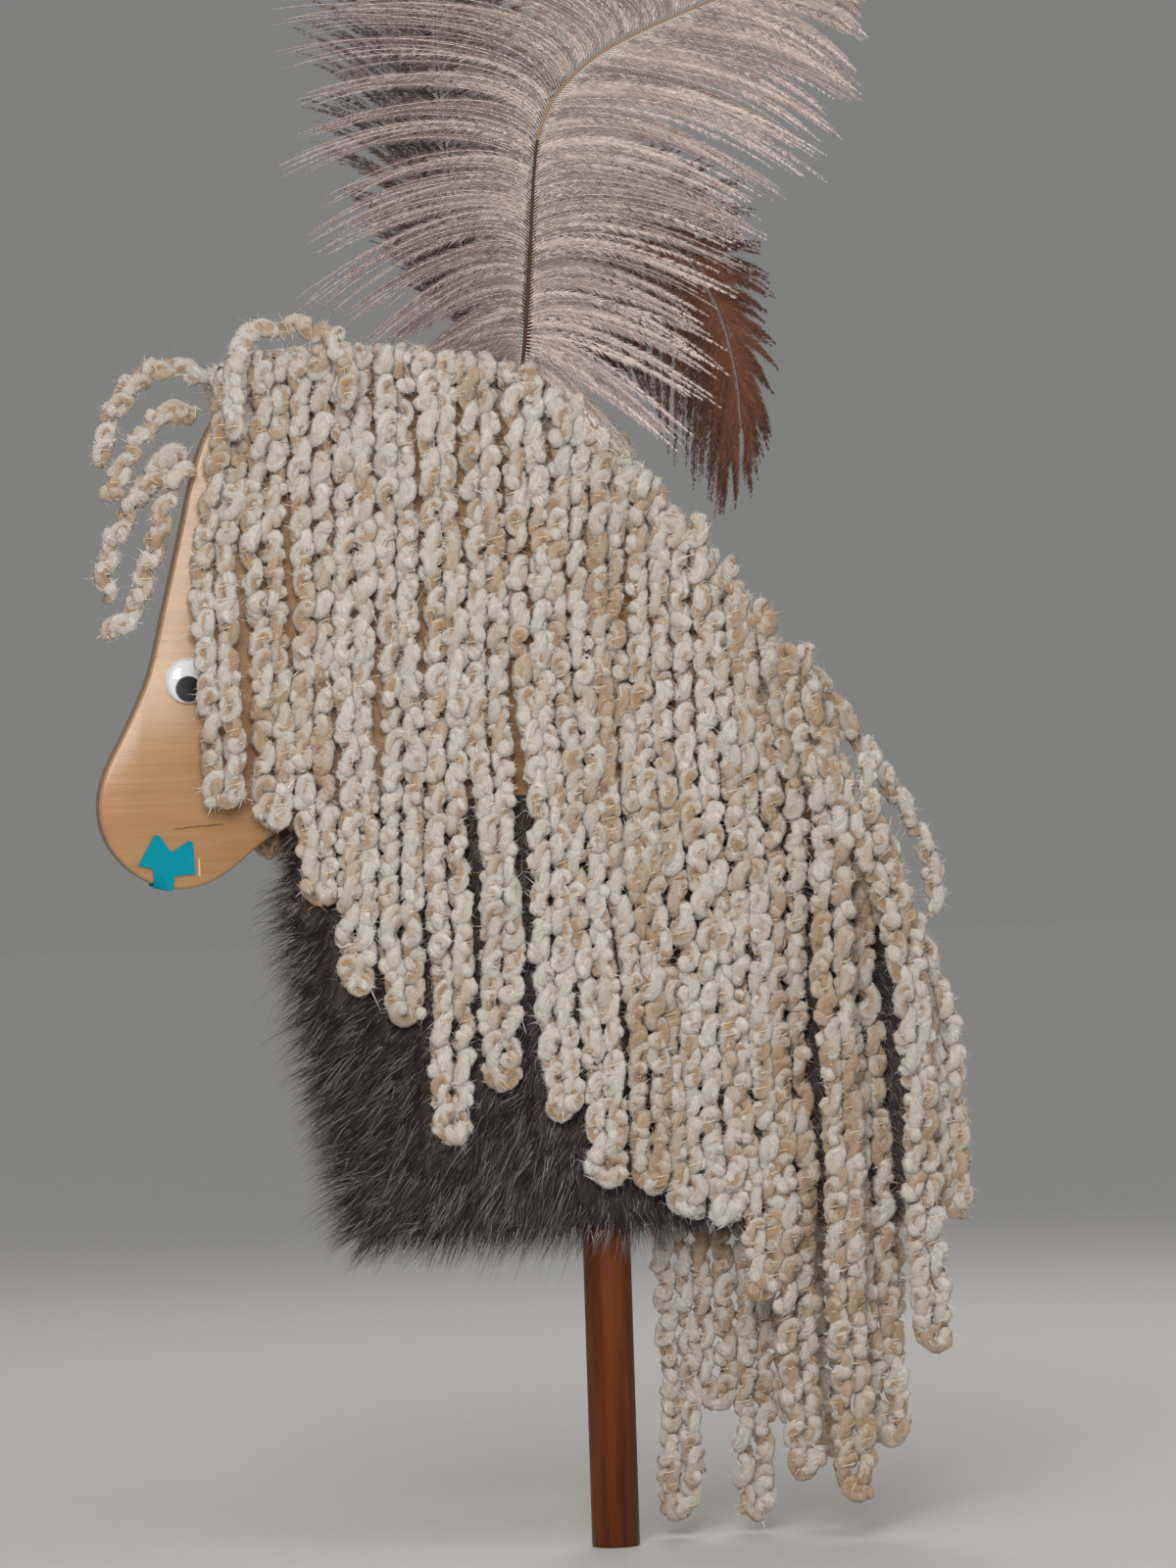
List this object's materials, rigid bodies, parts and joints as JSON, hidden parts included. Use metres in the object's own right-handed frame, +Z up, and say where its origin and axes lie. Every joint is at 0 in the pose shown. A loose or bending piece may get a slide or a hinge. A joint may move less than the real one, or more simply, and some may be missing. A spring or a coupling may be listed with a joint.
{
  "type": "horse head stick puppet",
  "caption": "Flat plywood horse head on a dowel, with a hanging yarn mane, fur neck, loose-pupil eyes and a tuft of plumes at the poll.",
  "frame": {"origin": "centre of the dowel's flat bottom end", "axes": "+Z up along the dowel; the nose points along -X and the near flank faces -Y, so +Y is the puppet's thin direction"},
  "size_m": [0.3997, 0.0818, 0.75],
  "materials": {
    "stained_wood": "stained and varnished dowel, satin gloss",
    "plywood": "clear varnished light plywood, fine straight grain",
    "screw_steel": "zinc plated",
    "tape": "woven cotton tape",
    "teal_patch": "matte craft foam sheet",
    "fur": "long pile, dark grey-brown with pale tips",
    "eye_white": "smooth white plastic",
    "eye_black": "smooth black plastic",
    "clear_plastic": "thin clear moulded plastic",
    "plume_pale": "soft pale mauve-grey plume",
    "plume_rust": "soft rust-brown plume with dark tips",
    "plume_dark": "soft dark brown plume",
    "yarn": "thick boucle yarn, off-white and tan"
  },
  "bodies": {
    "puppet": {"stick": "stained_wood", "head_board": "plywood", "cross_screw_1": "screw_steel", "cross_screw_2": "screw_steel", "mane_tape": "tape", "muzzle_patch": "teal_patch", "fur_near": "fur", "fur_far": "fur", "eye_base_near": "eye_white", "eye_dome_near": "clear_plastic", "eye_base_far": "eye_white", "eye_dome_far": "clear_plastic", "plume_pale": "plume_pale", "plume_rust": "plume_rust", "plume_dark": "plume_dark", "lock_near_01": "yarn", "lock_near_02": "yarn", "lock_near_03": "yarn", "lock_near_04": "yarn", "lock_near_05": "yarn", "lock_near_06": "yarn", "lock_near_07": "yarn", "lock_near_08": "yarn", "lock_near_09": "yarn", "lock_near_10": "yarn", "lock_near_11": "yarn", "lock_near_12": "yarn", "lock_near_13": "yarn", "lock_near_14": "yarn", "lock_near_15": "yarn", "lock_near_16": "yarn", "lock_near_17": "yarn", "lock_near_18": "yarn", "lock_far_01": "yarn", "lock_far_02": "yarn", "lock_far_03": "yarn", "lock_far_04": "yarn", "lock_far_05": "yarn", "lock_far_06": "yarn", "lock_far_07": "yarn", "lock_far_08": "yarn", "lock_far_09": "yarn", "lock_far_10": "yarn", "lock_far_11": "yarn", "lock_far_12": "yarn", "lock_far_13": "yarn", "lock_far_14": "yarn", "lock_far_15": "yarn", "lock_far_16": "yarn", "forelock_1": "yarn", "forelock_2": "yarn", "forelock_3": "yarn", "forelock_4": "yarn", "crest_loop": "yarn", "stray_lock": "yarn"},
    "pupil_near": {"eye_pupil_near": "eye_black"},
    "pupil_far": {"eye_pupil_far": "eye_black"}
  },
  "joints": [
    {"name": "pupil_near_roll", "type": "hinge", "parent": "puppet", "child": "pupil_near", "pos_m": [-0.1888, -0.0076, 0.4022], "axis": [0, 1, 0], "continuous": true},
    {"name": "pupil_far_roll", "type": "hinge", "parent": "puppet", "child": "pupil_far", "pos_m": [-0.1888, 0.0076, 0.4022], "axis": [0, 1, 0], "continuous": true}
  ]
}
